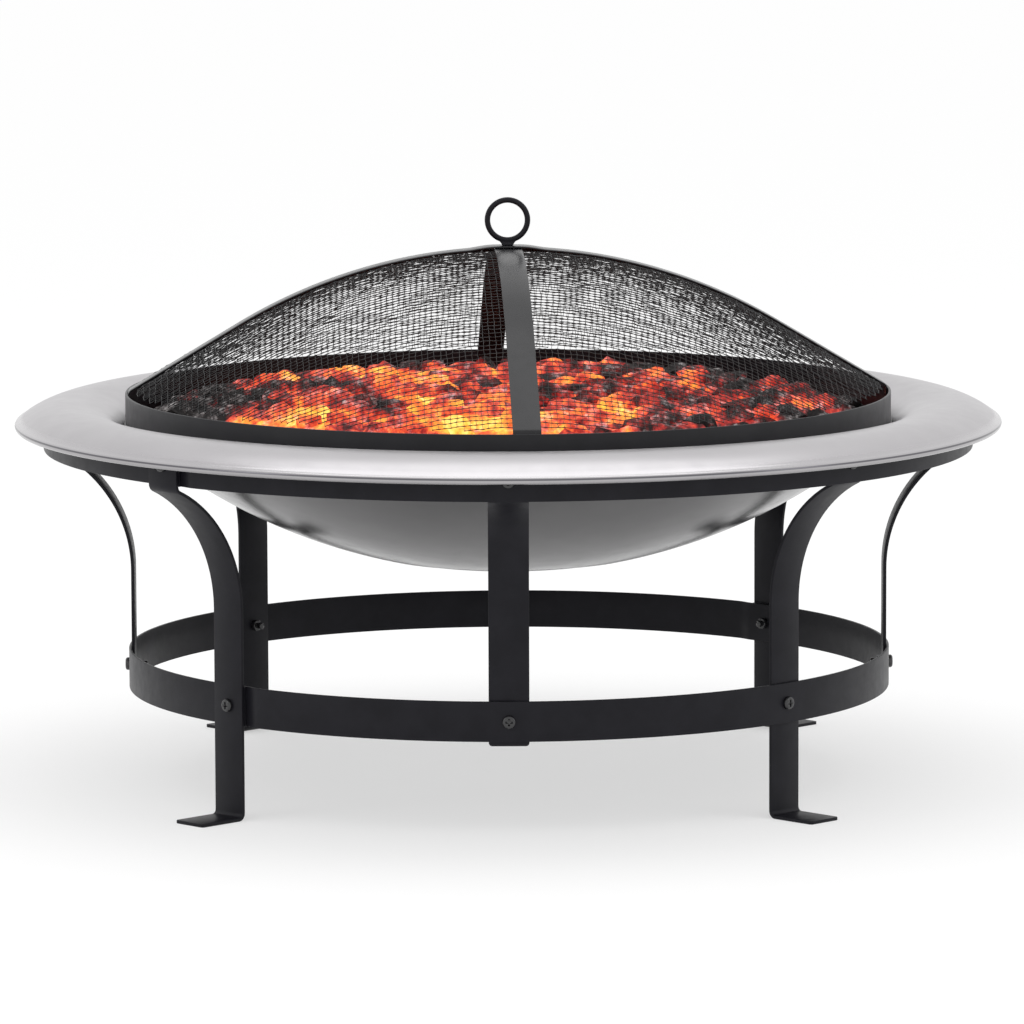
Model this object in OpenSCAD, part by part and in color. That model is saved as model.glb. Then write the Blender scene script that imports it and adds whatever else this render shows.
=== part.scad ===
// Fire pit with grate: a bolted flat-bar stand, a lift-out dished bowl, a fuel grate with its
// fire bed, and a domed spark guard of woven mesh. Millimetres, +Z up, the ground at Z = 0
// and the origin under the centre of the bowl.

/* [Stand] */
// Width of the flat bars of the legs and struts
bar_w = 30; // [22:1:36]
// Thickness of the flat bars
bar_t = 2.5; // [2:0.25:4]
// Height of the two hoop bands
hoop_h = 30; // [22:1:36]
// Thickness of the hoop bands
hoop_t = 2; // [1.5:0.25:3]
// Outside radius of the lower hoop
lower_hoop_r = 294; // [275:1:305]
// Height of the lower hoop's bottom edge above the ground
lower_hoop_z = 71; // [55:1:100]
// Height of the upper hoop's bottom edge above the ground
upper_hoop_z = 257; // [250:1:300]
// Centre line radius of the legs' outward flare
flare_r = 105; // [80:1:110]
// Centre line radius of the bend between the flare and the top tab
tab_bend_r = 5; // [4:0.5:8]
// How far the top tabs end below the upper hoop's top edge
tab_drop = 1.5; // [1:0.25:4]
// How far the struts reach below the lower hoop
strut_drop = 3.5; // [1:0.5:10]
// Length of a foot outwards from the leg's centre line
foot_len = 42; // [30:1:55]
// Centre line radius of the bend above a foot
foot_bend_r = 4.5; // [4:0.5:8]
// Corner radius of the bar ends
end_corner_r = 2.5; // [1:0.5:5]
// Length of the lap where two hoop halves join
lap_len = 30; // [24:1:40]
// Length of the joggle that steps a hoop end inwards
joggle_len = 14; // [10:1:25]

/* [Fasteners] */
// Thread diameter of the bolts
bolt_d = 5; // [4:0.5:6]
// Length of the bolts under the head
bolt_len = 14; // [12:1:20]
// Diameter of the bolt heads
head_d = 10; // [9:0.5:12]
// Height of the bolt heads
head_h = 3.2; // [2.5:0.1:4]
// Height of a bolt head's straight side
head_side_h = 1.3; // [0.8:0.1:2]
// Length of one slot of the cross recess
recess_len = 5.4; // [4:0.2:6]
// Width of the cross recess slots
recess_w = 1.2; // [0.8:0.1:1.6]
// Depth of the cross recess
recess_depth = 1.6; // [1:0.1:2]
// Width across the flats of the nuts
nut_af = 8; // [7.5:0.5:10]
// Height of the nuts
nut_h = 4; // [3:0.5:5]

/* [Bowl] */
// Outside radius of the bowl's rim
rim_r = 380; // [340:1:430]
// Sheet thickness of the bowl
sheet_t = 1.2; // [0.8:0.1:2]
// Outside radius of the spherical dish
dish_r = 445; // [400:1:490]
// Radius of the bend between the dish and the flange, on its inner face
neck_curve_r = 66.8; // [40:0.1:90]
// Radius of the flatter disc at the bottom
base_r = 95; // [70:1:110]
// Curve radius of that disc
base_curve_r = 600; // [500:10:900]
// Width of the flange from its crest to the rim
flange_w = 39.5; // [30:0.5:45]
// Curve radius of the flange outside its crest
flange_r = 58; // [55:1:70]
// Radius of the rolled lip
lip_r = 3; // [2.5:0.1:3.5]
// How far the lip stands proud of the flange
lip_proud = 0.4; // [0.2:0.1:1]
// How far the rim overhangs the upper hoop
rim_overhang = 22; // [15:0.5:30]

/* [Spark guard] */
// How far the guard's band stays inside the dish's upper edge
band_inset = 0.95; // [0.5:0.05:10]
// Height of the band
band_h = 24.5; // [20:0.5:30]
// Thickness of the band
band_t = 2; // [1.5:0.25:3]
// Radius of the bead along the band's bottom edge
bead_r = 1; // [0.6:0.1:1.2]
// Curve radius of the dome's top
dome_r = 403.5; // [380:0.5:430]
// Slope of the dome's straight lower part
dome_slope = 30.8; // [27:0.1:33]
// Radius of the bend at the foot of the dome
shoulder_r = 4; // [3:0.5:8]
// How far that bend's centre lies below the band's top edge
shoulder_drop = 1; // [0:0.25:3]
// Length of the mesh's upright skirt inside the band
skirt_h = 4; // [3:0.5:12]
// Thickness of the mesh
mesh_t = 1.1; // [0.8:0.1:2]
// Distance between neighbouring wires of the mesh
mesh_pitch = 26; // [20:1:60]
// Width of the mesh's wires
mesh_wire_w = 2; // [1:0.5:5]
// Width of the closed edge round the mesh
mesh_edge_w = 4; // [2:0.5:10]
// Width of the guard's straps
strap_w = 21; // [15:1:26]
// Thickness of the guard's straps
strap_t = 1.2; // [0.8:0.1:2]
// How far an upper strap keeps its full step on each side of the lower strap's edge
step_land = 2; // [1:0.5:5]
// Length over which that step runs out
step_len = 20; // [15:1:40]
// Turn of the guard about the vertical, as it was put down
guard_turn = 2.75; // [-10:0.25:10]

/* [Handle] */
// Outside diameter of the handle ring
eye_d = 35.3; // [30:0.1:45]
// Rod diameter of the handle ring
eye_rod_d = 4.4; // [4:0.1:6]
// Diameter of the neck under the ring
neck_d = 9; // [8:0.5:12]
// Height of the neck between the straps and the ring
neck_h = 2; // [1:0.1:6]
// Width of the neck's web where it meets the ring
web_w = 14; // [12:0.5:18]
// Diameter of the handle's threaded shank
shank_d = 5; // [4:0.5:6]
// Thickness of the washer under the mesh
washer_t = 1.2; // [1:0.1:2]
// Outside diameter of the washer under the mesh
washer_d = 22; // [16:1:30]
// Length of shank that stands out below the handle's nut
shank_tail = 3; // [1:0.5:8]

/* [Grate and fire bed] */
// Radius of the centre line of the grate's rim
grate_r = 165; // [140:1:180]
// Rod diameter of the grate's rim and feet
grate_rod_d = 8; // [6:0.5:10]
// Rod diameter of the grate's bars
grate_bar_d = 6; // [5:0.5:8]
// Distance between neighbouring grate bars
grate_pitch = 33; // [28:1:36]
// Length of the grate's feet
grate_foot_h = 23; // [15:1:30]
// Gap between the fire bed and the guard's band, all round
bed_side_gap = 10; // [8:0.5:25]
// How far the fire bed's edge lies below the top of the guard's band
bed_drop = 16; // [16:0.5:20]
// Rise of the fire bed from its edge to its middle
bed_crown = 25; // [10:1:25]
// Fullness of the fire bed's heap: 2 is evenly round, more is flatter on top
bed_fullness = 6; // [2:1:6]
// Gap between the fire bed and the bowl's wall
bed_gap = 1; // [0.5:0.25:3]

/* [Fits] */
// Gap between fixed pieces that are clamped or welded together
seat_gap = 0.05; // [0.02:0.01:0.1]
// Gap under a piece that rests loosely on another
rest_gap = 0.3; // [0.2:0.05:0.4]
// Gap round a bolt in its hole
hole_gap = 0.25; // [0.1:0.05:0.5]
// Gap between a thread and its nut
thread_gap = 0.05; // [0.02:0.01:0.1]

/* [Hidden] */

$fn = 96;

// Colours
coated_black = "#26262a";
fastener_black = "#303034";
steel = "#c4c1c4";
guard_black = "#2b2b2f";
grate_grey = "#3c3a39";
ember = "#d2571c";

// Directions around the stand, anticlockwise from +X as seen from above
az_right = 0;
az_rear_right = 45;
az_rear = 90;
az_rear_left = 135;
az_left = 180;
az_front_left = 225;
az_front = 270;
az_front_right = 315;
az_step = 45;
az_uprights = [for (az = [az_right:az_step:az_front_right]) az];
// Angle that one flat of a hoop's outline spans
az_facet = 1.5;

// The two uprights at the hoops' joints stand outside the hoops, the others inside
az_outer_uprights = [az_rear_right, az_front_left];
function is_outer(az) = len([for (a = az_outer_uprights) if (a == az) a]) > 0;

// Radius at which a flat plate of this width touches the inside of a round wall
function flat_inside(wall_r, width) = sqrt(pow(wall_r, 2) - pow(width / 2, 2)) - seat_gap;

// Centre line radius of an upright at a hoop of outside radius r
function upright_r(r, az) = is_outer(az)
    ? r + seat_gap + bar_t / 2
    : flat_inside(r - hoop_t, bar_w) - bar_t / 2;

// Where the bolt heads and the nuts sit
nut_corner_d = nut_af / cos(30);
function head_seat(r, az) = is_outer(az) ? upright_r(r, az) + bar_t / 2 + seat_gap : r + seat_gap;
function nut_seat(r, az) = is_outer(az)
    ? flat_inside(r - 2 * hoop_t - seat_gap, nut_corner_d)
    : upright_r(r, az) - bar_t / 2 - seat_gap;

lower_bolt_z = lower_hoop_z + hoop_h / 2;
upper_bolt_z = upper_hoop_z + hoop_h / 2;
upper_hoop_top = upper_hoop_z + hoop_h;
upper_hoop_r = rim_r - rim_overhang;
bolt_hole_d = bolt_d + 2 * hole_gap;

// The bowl rests with the underside of its flange on the upper hoop's top edge
crest_r = rim_r - flange_w;
crest_z = upper_hoop_top + rest_gap + flange_r
    - sqrt(pow(flange_r - sheet_t, 2) - pow(upper_hoop_r - crest_r, 2));
dish_in_r = dish_r - sheet_t;
// The neck's bend runs tangent out of the dish and ends level at the crest
dish_end = asin(crest_r / (dish_in_r + neck_curve_r));
dish_z = crest_z - neck_curve_r + (dish_in_r + neck_curve_r) * cos(dish_end);
base_end = asin(base_r / base_curve_r);
dish_start = asin(base_r / dish_r);
base_z = dish_z - dish_r * cos(dish_start) + base_curve_r * cos(base_end);
lip_at = flange_r - lip_r + lip_proud;
lip_angle = asin((rim_r - lip_r - crest_r) / lip_at);
lip_z = crest_z - flange_r + lip_at * cos(lip_angle);
// Where the sheet's two faces run into the lip, as angles round the lip from its top
lip_face = acos((lip_r - lip_proud) / lip_r);
lip_under = acos((lip_r - lip_proud - sheet_t) / lip_r);
flange_end = lip_angle - asin(lip_r * sin(lip_under) / lip_at);

// Height and radius of the dish's inside
function dish_in_z(r) = dish_z - sqrt(pow(dish_in_r, 2) - pow(r, 2));
function dish_wall_r(z, gap) = sqrt(pow(dish_in_r - gap, 2) - pow(dish_z - z, 2));

// The guard rests with its bead in the dish
band_r = dish_in_r * sin(dish_end) - band_inset;
band_z = dish_z - sqrt(pow(dish_in_r - bead_r - rest_gap, 2) - pow(band_r, 2)) - bead_r;
band_in_r = band_r - band_t;
skirt_r = flat_inside(band_in_r, strap_w) - strap_t - seat_gap;
shoulder_z = band_z + band_h - shoulder_drop;
shoulder_x = skirt_r - shoulder_r;
// Length of the straight slope between the dome's top curve and its bend
slope_len = (shoulder_x + shoulder_r * sin(dome_slope) - dome_r * sin(dome_slope)) / cos(dome_slope);
dome_z = shoulder_z + shoulder_r * cos(dome_slope) + slope_len * sin(dome_slope)
    - dome_r * cos(dome_slope);
mesh_top = dome_z + dome_r;
// Facets of the mesh from the dome's top down to its straight slope
mesh_steps = 8;
// The lengthways strap steps over the crossways one
strap_step = strap_t + 3 * seat_gap + dome_r - sqrt(pow(dome_r, 2) - pow(strap_w / 2, 2));
strap_top = mesh_top + seat_gap + strap_step + strap_t;
eye_r = eye_d / 2;
eye_z = strap_top + seat_gap + neck_h + eye_r;
// The washer's edge lies against the mesh's middle facet
washer_z = mesh_top - mesh_t - seat_gap - washer_d / 2 * tan(dome_slope / mesh_steps / 2);
handle_nut_z = washer_z - washer_t - seat_gap;

// The grate stands on the dish
grate_foot_z = dish_in_z(grate_r + grate_rod_d / 2) + rest_gap;
grate_rim_z = grate_foot_z + grate_foot_h + seat_gap + grate_rod_d / 2;
grate_bar_z = grate_rim_z + grate_rod_d / 2 + seat_gap + grate_bar_d / 2;
grate_bars = 9;
bed_z = grate_bar_z + grate_bar_d / 2 + seat_gap;
bed_edge_z = band_z + band_h - bed_drop;
bed_r = band_in_r - bed_side_gap;
bed_wall_z = dish_z - sqrt(pow(dish_in_r - bed_gap, 2) - pow(bed_r, 2));
// Steps of the fire bed's heap from its edge to its middle
bed_steps = 16;

// ---------- Shared shapes ----------

// A path is a list of [point, unit normal]. An arc's side is 1 when the normal points away
// from its centre and -1 when it points to it.
function arc(centre, r, from, to, steps, side = 1) = [
    for (i = [0:steps])
        let (a = from + (to - from) * i / steps, d = [cos(a), sin(a)])
        [centre + r * d, side * d]
];

// Outline of a strip of thickness t along a path
function strip(path, t) = concat(
    [for (p = path) p[0] + p[1] * t / 2],
    [for (i = [len(path) - 1:-1:0]) path[i][0] - path[i][1] * t / 2]
);

// Flat bar of width w whose side view is the strip along a path, in the direction az
module bent_bar(path, w, t, az) {
    rotate([0, 0, az])
        rotate([90, 0, 0])
            linear_extrude(w, center = true)
                polygon(strip(path, t));
}

// Rod along the radial direction az, from radius r inwards
module radial_rod(r, z, az, d, length) {
    rotate([0, 0, az])
        translate([r, 0, z])
            rotate([0, -90, 0])
                cylinder(d = d, h = length);
}

// What is cut off one corner of a bar's end: the corner points to +X +Y
module corner_cut(r, depth) {
    linear_extrude(depth, center = true)
        difference() {
            translate([-r, -r])
                square(2 * r);
            translate([-r, -r])
                circle(r);
        }
}

// Both corners of an end that looks along +X, for a bar of width w
module end_corners(w, r, depth) {
    for (s = [0, 1])
        mirror([0, s, 0])
            translate([0, w / 2, 0])
                corner_cut(r, depth);
}

// ---------- Stand ----------

// Side view of an upright from its straight part to its top tab
function upright_path(az) =
    let (
        low = upright_r(lower_hoop_r, az),
        high = upright_r(upper_hoop_r, az),
        turn = acos(1 - (high - low) / (flare_r + tab_bend_r)),
        flare_z = upper_hoop_z - (flare_r + tab_bend_r) * sin(turn)
    )
    concat(
        arc([low + flare_r, flare_z], flare_r, 180, 180 - turn, 24, -1),
        arc([high - tab_bend_r, upper_hoop_z], tab_bend_r, -turn, 0, 8),
        [[[high, upper_hoop_top - tab_drop], [1, 0]]]
    );

// Side view of a foot and the bend above it
function foot_path(az) =
    let (low = upright_r(lower_hoop_r, az))
    concat(
        [[[low + foot_len, bar_t / 2], [0, 1]]],
        arc([low + foot_bend_r, foot_bend_r + bar_t / 2], foot_bend_r, 270, 180, 8, -1)
    );

module upright_holes(az) {
    for (level = [[lower_hoop_r, lower_bolt_z], [upper_hoop_r, upper_bolt_z]])
        radial_rod(upright_r(level[0], az) + bar_t, level[1], az, bolt_hole_d, 2 * bar_t);
}

module tab_corners(az) {
    rotate([0, 0, az])
        translate([upright_r(upper_hoop_r, az), 0, upper_hoop_top - tab_drop])
            rotate([0, -90, 0])
                end_corners(bar_w, end_corner_r, 2 * bar_t);
}

module leg(az) {
    color(coated_black)
        difference() {
            bent_bar(concat(foot_path(az), upright_path(az)), bar_w, bar_t, az);
            upright_holes(az);
            tab_corners(az);
            rotate([0, 0, az])
                translate([upright_r(lower_hoop_r, az) + foot_len, 0, bar_t / 2])
                    end_corners(bar_w, end_corner_r, 2 * bar_t);
        }
}

module strut(az) {
    low = upright_r(lower_hoop_r, az);
    end_z = lower_hoop_z - strut_drop;
    color(coated_black)
        difference() {
            bent_bar(concat([[[low, end_z], [1, 0]]], upright_path(az)), bar_w, bar_t, az);
            upright_holes(az);
            tab_corners(az);
            rotate([0, 0, az])
                translate([low, 0, end_z])
                    rotate([0, 90, 0])
                        end_corners(bar_w, end_corner_r, 2 * bar_t);
        }
}

// Plan of half a hoop. It starts with a lap that lies inside the other half's plain end.
function hoop_path(r) =
    let (
        lap_r = r - hoop_t - seat_gap,
        mid_r = r - hoop_t / 2,
        lap = lap_len / 2 / r * 180 / PI,
        joggle = joggle_len / r * 180 / PI,
        steps = 8
    )
    concat(
        arc([0, 0], lap_r - hoop_t / 2, -lap, lap, 6),
        [
            for (i = [1:steps - 1])
                let (
                    a = lap + joggle * i / steps,
                    out = mid_r - (r - lap_r) * (1 + cos(180 * i / steps)) / 2
                )
                [out * [cos(a), sin(a)], [cos(a), sin(a)]]
        ],
        arc([0, 0], mid_r, lap + joggle, 180 + lap, ceil((180 - joggle) / az_facet))
    );

module hoop_half(r, z, start) {
    color(coated_black)
        rotate([0, 0, start])
            difference() {
                translate([0, 0, z])
                    linear_extrude(hoop_h)
                        polygon(strip(hoop_path(r), hoop_t));
                for (az = [0:az_step:180])
                    radial_rod(r + hoop_t, z + hoop_h / 2, az, bolt_hole_d, 4 * hoop_t);
            }
}

// Pan head bolt along +Z, its head above Z = 0
module bolt() {
    dome_h = head_h - head_side_h;
    crown_r = (pow(head_d / 2, 2) + pow(dome_h, 2)) / (2 * dome_h);
    difference() {
        union() {
            intersection() {
                cylinder(d = head_d, h = head_h);
                translate([0, 0, head_h - crown_r])
                    sphere(crown_r);
            }
            translate([0, 0, -bolt_len])
                cylinder(d = bolt_d, h = bolt_len + head_side_h / 2);
        }
        for (a = [0, 90])
            rotate([0, 0, a])
                translate([-recess_len / 2, -recess_w / 2, head_h - recess_depth])
                    cube([recess_len, recess_w, recess_depth + head_h]);
    }
}

// Hexagon nut along +Z from Z = 0
module nut(af, h, thread_d) {
    difference() {
        cylinder(d = af / cos(30), h = h, $fn = 6);
        translate([0, 0, -h])
            cylinder(d = thread_d + 2 * thread_gap, h = 3 * h);
    }
}

module hoop_bolts(r, z) {
    color(fastener_black)
        for (az = az_uprights)
            rotate([0, 0, az])
                translate([head_seat(r, az), 0, z])
                    rotate([0, 90, 0])
                        bolt();
}

module hoop_nuts(r, z) {
    color(fastener_black)
        for (az = az_uprights)
            rotate([0, 0, az])
                translate([nut_seat(r, az), 0, z])
                    rotate([0, -90, 0])
                        nut(nut_af, nut_h, bolt_d);
}

module upper_hoop_front() {
    hoop_half(upper_hoop_r, upper_hoop_z, az_front_left);
}

module upper_hoop_rear() {
    hoop_half(upper_hoop_r, upper_hoop_z, az_rear_right);
}

module lower_hoop_front() {
    hoop_half(lower_hoop_r, lower_hoop_z, az_front_left);
}

module lower_hoop_rear() {
    hoop_half(lower_hoop_r, lower_hoop_z, az_rear_right);
}

// ---------- Bowl ----------

// One side of the bowl's sheet: its inside at depth 0, its underside at depth sheet_t
function bowl_side(depth) = [
    for (p = concat(
        arc([0, base_z], base_curve_r - sheet_t + depth, -90, base_end - 90, 6),
        arc([0, dish_z], dish_in_r + depth, dish_start - 90, dish_end - 90, 24),
        arc([crest_r, crest_z - neck_curve_r], neck_curve_r - depth, dish_end + 90, 90, 12),
        arc([crest_r, crest_z - flange_r], flange_r - depth, 90, 90 - flange_end, 10)
    )) p[0]
];

module bowl() {
    underside = bowl_side(sheet_t);
    lip_top = 90 - lip_angle;
    lip = arc([rim_r - lip_r, lip_z], lip_r, lip_top + lip_face, lip_top + lip_under - 360, 20);
    color(steel)
        rotate_extrude()
            polygon(concat(
                bowl_side(0),
                [for (p = lip) p[0]],
                [for (i = [len(underside) - 1:-1:0]) underside[i]]
            ));
}

// ---------- Grate and fire bed ----------

module grate_rim() {
    color(grate_grey)
        translate([0, 0, grate_rim_z])
            rotate_extrude()
                translate([grate_r, 0])
                    circle(d = grate_rod_d);
}

module grate_bar(number) {
    x = (number - (grate_bars + 1) / 2) * grate_pitch;
    length = 2 * sqrt(pow(grate_r + grate_rod_d / 2, 2) - pow(x, 2));
    color(grate_grey)
        translate([x, 0, grate_bar_z])
            rotate([90, 0, 0])
                cylinder(d = grate_bar_d, h = length, center = true);
}

module grate_foot(az) {
    color(grate_grey)
        rotate([0, 0, az])
            translate([grate_r, 0, grate_foot_z])
                cylinder(d = grate_rod_d, h = grate_foot_h);
}

module fire_bed() {
    foot_r = dish_wall_r(bed_z, bed_gap);
    wall = arc([0, dish_z], dish_in_r - bed_gap,
        atan2(bed_z - dish_z, foot_r), atan2(bed_wall_z - dish_z, bed_r), 6);
    top = [
        for (i = [0:bed_steps])
            let (r = bed_r * (1 - i / bed_steps))
            [r, bed_edge_z + bed_crown * (1 - pow(r / bed_r, bed_fullness))]
    ];
    color(ember)
        rotate_extrude()
            polygon(concat([[0, bed_z]], [for (p = wall) p[0]], top));
}

// ---------- Spark guard ----------

// Half of the dome's side view, moved out by this much from the mesh's outer face
function dome_path(out, steps = 30) = concat(
    arc([0, dome_z], dome_r + out, 90, 90 - dome_slope, steps),
    arc([shoulder_x, shoulder_z], shoulder_r + out, 90 - dome_slope, 0, 6),
    [[[skirt_r + out, shoulder_z - skirt_h], [1, 0]]]
);

// Height of the step at a distance x from the middle of the strap
function step_at(x, full) =
    let (past = abs(x) - strap_w / 2 - step_land)
    past <= 0 ? full : past >= step_len ? 0 : full * (1 + cos(180 * past / step_len)) / 2;

// A strap's whole side view, with a step of this height over its middle
function strap_path(step) =
    let (
        half = [
            for (p = dome_path(seat_gap + strap_t / 2))
                [p[0] + step_at(p[0][0], step) * p[1], p[1]]
        ],
        flip = [[-1, 0], [0, 1]]
    )
    concat(
        [for (i = [len(half) - 1:-1:1]) [flip * half[i][0], flip * half[i][1]]],
        half
    );

module handle_hole(slack) {
    translate([0, 0, dome_z])
        cylinder(d = shank_d + 2 * slack, h = 2 * dome_r);
}

module guard_strap(step, az) {
    color(guard_black)
        difference() {
            bent_bar(strap_path(step), strap_w, strap_t, az);
            handle_hole(hole_gap);
        }
}

// Plan of the openings between the mesh's wires, two of which cross at the handle
module mesh_cells() {
    open_r = shoulder_x - mesh_edge_w;
    last = ceil(open_r / mesh_pitch) - 1;
    intersection() {
        circle(open_r);
        for (i = [-last - 1:last], j = [-last - 1:last])
            let (at = [i + 0.5, j + 0.5] * mesh_pitch)
            if (norm(at) < open_r)
                translate(at)
                    square(mesh_pitch - mesh_wire_w, center = true);
    }
}

module guard_mesh() {
    color(guard_black)
        difference() {
            rotate_extrude()
                polygon(strip(dome_path(-mesh_t / 2, mesh_steps), mesh_t));
            handle_hole(hole_gap);
            rotate([0, 0, guard_turn])
                linear_extrude(2 * dome_r)
                    mesh_cells();
        }
}

module guard_band() {
    color(guard_black)
        rotate_extrude() {
            translate([band_in_r, band_z])
                square([band_t, band_h]);
            translate([band_r, band_z + bead_r])
                circle(bead_r);
        }
}

// The ring, its neck and the threaded shank that goes down through straps and mesh
module handle_ring() {
    neck_z = strap_top + seat_gap;
    shank_z = handle_nut_z - nut_h - shank_tail;
    color(guard_black)
        rotate([0, 0, guard_turn]) {
            translate([0, 0, eye_z])
                rotate([90, 0, 0])
                    rotate_extrude()
                        translate([eye_r - eye_rod_d / 2, 0])
                            circle(d = eye_rod_d);
            translate([0, 0, neck_z])
                cylinder(d = neck_d, h = neck_h);
            translate([0, 0, neck_z + neck_h])
                rotate([90, 0, 0])
                    linear_extrude(eye_rod_d * 0.9, center = true)
                        polygon([
                            [-neck_d / 2, -neck_h / 2], [neck_d / 2, -neck_h / 2],
                            [web_w / 2, eye_rod_d / 2], [-web_w / 2, eye_rod_d / 2]
                        ]);
            translate([0, 0, shank_z])
                cylinder(d = shank_d, h = neck_z - shank_z + neck_h / 2);
        }
}

module handle_washer() {
    color(guard_black)
        translate([0, 0, washer_z - washer_t])
            difference() {
                cylinder(d = washer_d, h = washer_t);
                translate([0, 0, -washer_t])
                    cylinder(d = shank_d + 2 * hole_gap, h = 3 * washer_t);
            }
}

module handle_nut() {
    color(fastener_black)
        translate([0, 0, handle_nut_z - nut_h])
            nut(nut_af, nut_h, shank_d);
}

upper_hoop_front();
upper_hoop_rear();
lower_hoop_front();
lower_hoop_rear();
leg(az_front_left);  // leg_front_left
leg(az_front_right);  // leg_front_right
leg(az_rear_left);  // leg_rear_left
leg(az_rear_right);  // leg_rear_right
strut(az_front);  // strut_front
strut(az_rear);  // strut_rear
strut(az_left);  // strut_left
strut(az_right);  // strut_right
hoop_bolts(upper_hoop_r, upper_bolt_z);  // upper_hoop_bolts
hoop_nuts(upper_hoop_r, upper_bolt_z);  // upper_hoop_nuts
hoop_bolts(lower_hoop_r, lower_bolt_z);  // lower_hoop_bolts
hoop_nuts(lower_hoop_r, lower_bolt_z);  // lower_hoop_nuts
bowl();
grate_rim();
grate_bar(1);  // grate_bar_1
grate_bar(2);  // grate_bar_2
grate_bar(3);  // grate_bar_3
grate_bar(4);  // grate_bar_4
grate_bar(5);  // grate_bar_5
grate_bar(6);  // grate_bar_6
grate_bar(7);  // grate_bar_7
grate_bar(8);  // grate_bar_8
grate_bar(9);  // grate_bar_9
grate_foot(az_front_left);  // grate_foot_front_left
grate_foot(az_front_right);  // grate_foot_front_right
grate_foot(az_rear_left);  // grate_foot_rear_left
grate_foot(az_rear_right);  // grate_foot_rear_right
fire_bed();
guard_band();
guard_mesh();
guard_strap(strap_step, az_front + guard_turn);  // guard_strap_lengthways
guard_strap(0, az_right + guard_turn);  // guard_strap_crossways
handle_ring();
handle_washer();
handle_nut();
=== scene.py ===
"""A round garden fire pit: bolted flat-bar stand, dished steel bowl, fire bed and mesh guard."""

import random
from math import acos, asin, atan2, cos, degrees, exp, pi, radians, sin, sqrt

import bmesh
import bpy
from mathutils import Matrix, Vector


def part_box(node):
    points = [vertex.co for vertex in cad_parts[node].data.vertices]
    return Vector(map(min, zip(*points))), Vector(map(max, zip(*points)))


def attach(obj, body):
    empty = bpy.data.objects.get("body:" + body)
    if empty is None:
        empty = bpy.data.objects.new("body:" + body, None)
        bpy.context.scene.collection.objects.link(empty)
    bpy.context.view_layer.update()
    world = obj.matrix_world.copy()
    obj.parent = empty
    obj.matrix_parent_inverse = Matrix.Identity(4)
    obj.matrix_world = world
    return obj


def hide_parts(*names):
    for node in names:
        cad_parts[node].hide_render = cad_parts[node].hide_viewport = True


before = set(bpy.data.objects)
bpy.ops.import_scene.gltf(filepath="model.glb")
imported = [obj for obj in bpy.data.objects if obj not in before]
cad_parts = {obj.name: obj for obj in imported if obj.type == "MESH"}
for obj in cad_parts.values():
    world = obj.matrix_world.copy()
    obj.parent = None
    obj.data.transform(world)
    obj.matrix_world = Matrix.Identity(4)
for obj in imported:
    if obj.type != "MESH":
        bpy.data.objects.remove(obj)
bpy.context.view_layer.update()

# ---------------------------------------------------------------- sizes, in metres

MM = 0.001

# Directions round the stand, anticlockwise from +X as seen from above
AZIMUTH = {
    "right": 0, "rear_right": 45, "rear": 90, "rear_left": 135,
    "left": 180, "front_left": 225, "front": 270, "front_right": 315,
}
# The uprights at the hoops' laps stand outside the hoops, the others inside
OUTER_UPRIGHTS = ("rear_right", "front_left")

# The gap that stands for two faces that touch
SEAT_GAP = 0.05 * MM
# Points nearer than this are merged
MERGE_GAP = 0.002 * MM
# Places nearer than this count as the same
NEAR = 0.01 * MM

# Stand
hoop_low, hoop_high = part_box("lower_hoop_front")
LOWER_HOOP_Z = hoop_low[2]
HOOP_H = hoop_high[2] - hoop_low[2]
LOWER_HOOP_R = -hoop_low[1]
hoop_low, hoop_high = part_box("upper_hoop_front")
UPPER_HOOP_Z = hoop_low[2]
UPPER_HOOP_R = -hoop_low[1]
HOOP_T = 2 * MM
strut_low, strut_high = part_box("strut_front")
BAR_W = strut_high[0] - strut_low[0]
STRUT_FOOT_Z = strut_low[2]
TAB_TOP_Z = strut_high[2]
BAR_T = 2.5 * MM
FLARE_R = 105 * MM
TAB_BEND_R = 5 * MM
INNER_BEND_RISE = 4 * MM
FOOT_LEN = 42 * MM
FOOT_BEND_R = 4.5 * MM
END_CORNER_R = 2.5 * MM
LAP_LEN = 30 * MM
JOGGLE_LEN = 14 * MM
EDGE_ROUND = 0.35 * MM
HOOPS = (("lower", LOWER_HOOP_R, LOWER_HOOP_Z), ("upper", UPPER_HOOP_R, UPPER_HOOP_Z))

# Fasteners
BOLT_D = 5 * MM
BOLT_LEN = 14 * MM
HEAD_D = 10 * MM
HEAD_H = 3.2 * MM
HEAD_CROWN = 1.9 * MM
RECESS_LEN = 7.4 * MM
RECESS_W = 1.75 * MM
# Height of the recess's cutter, half of which is in the head
RECESS_H = 3.4 * MM
TIP_LEN = 0.3 * MM
NUT_AF = 8 * MM
NUT_H = 4 * MM
NUT_CHAMFER = 0.5 * MM

# Bowl
bowl_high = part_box("bowl")[1]
RIM_R = bowl_high[0]
CREST_Z = bowl_high[2]
SHEET_T = 1.2 * MM
DISH_R = 445 * MM
DISH_DEPTH = 131.3 * MM
BASE_R = 95 * MM
BASE_CURVE_R = 600 * MM
CREST_R = 340.5 * MM
FLANGE_R = 58 * MM
LIP_R = 3 * MM
LIP_PROUD = 0.4 * MM
DISH_Z = CREST_Z - DISH_DEPTH + DISH_R
# The lip's middle: reach and angle from the flange's centre of curvature, and height
LIP_REACH = FLANGE_R - LIP_R + LIP_PROUD
LIP_ANGLE = asin((RIM_R - LIP_R - CREST_R) / LIP_REACH)
LIP_Z = CREST_Z - FLANGE_R + LIP_REACH * cos(LIP_ANGLE)

# Heights below which the dish's colour is painted darker as painted shade, and above which the flange
# keeps its bright colour and satin finish
PAINTED_SHADE_BELOW = CREST_Z - 26 * MM
UNSHADED_ABOVE = CREST_Z - 14 * MM
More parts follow.
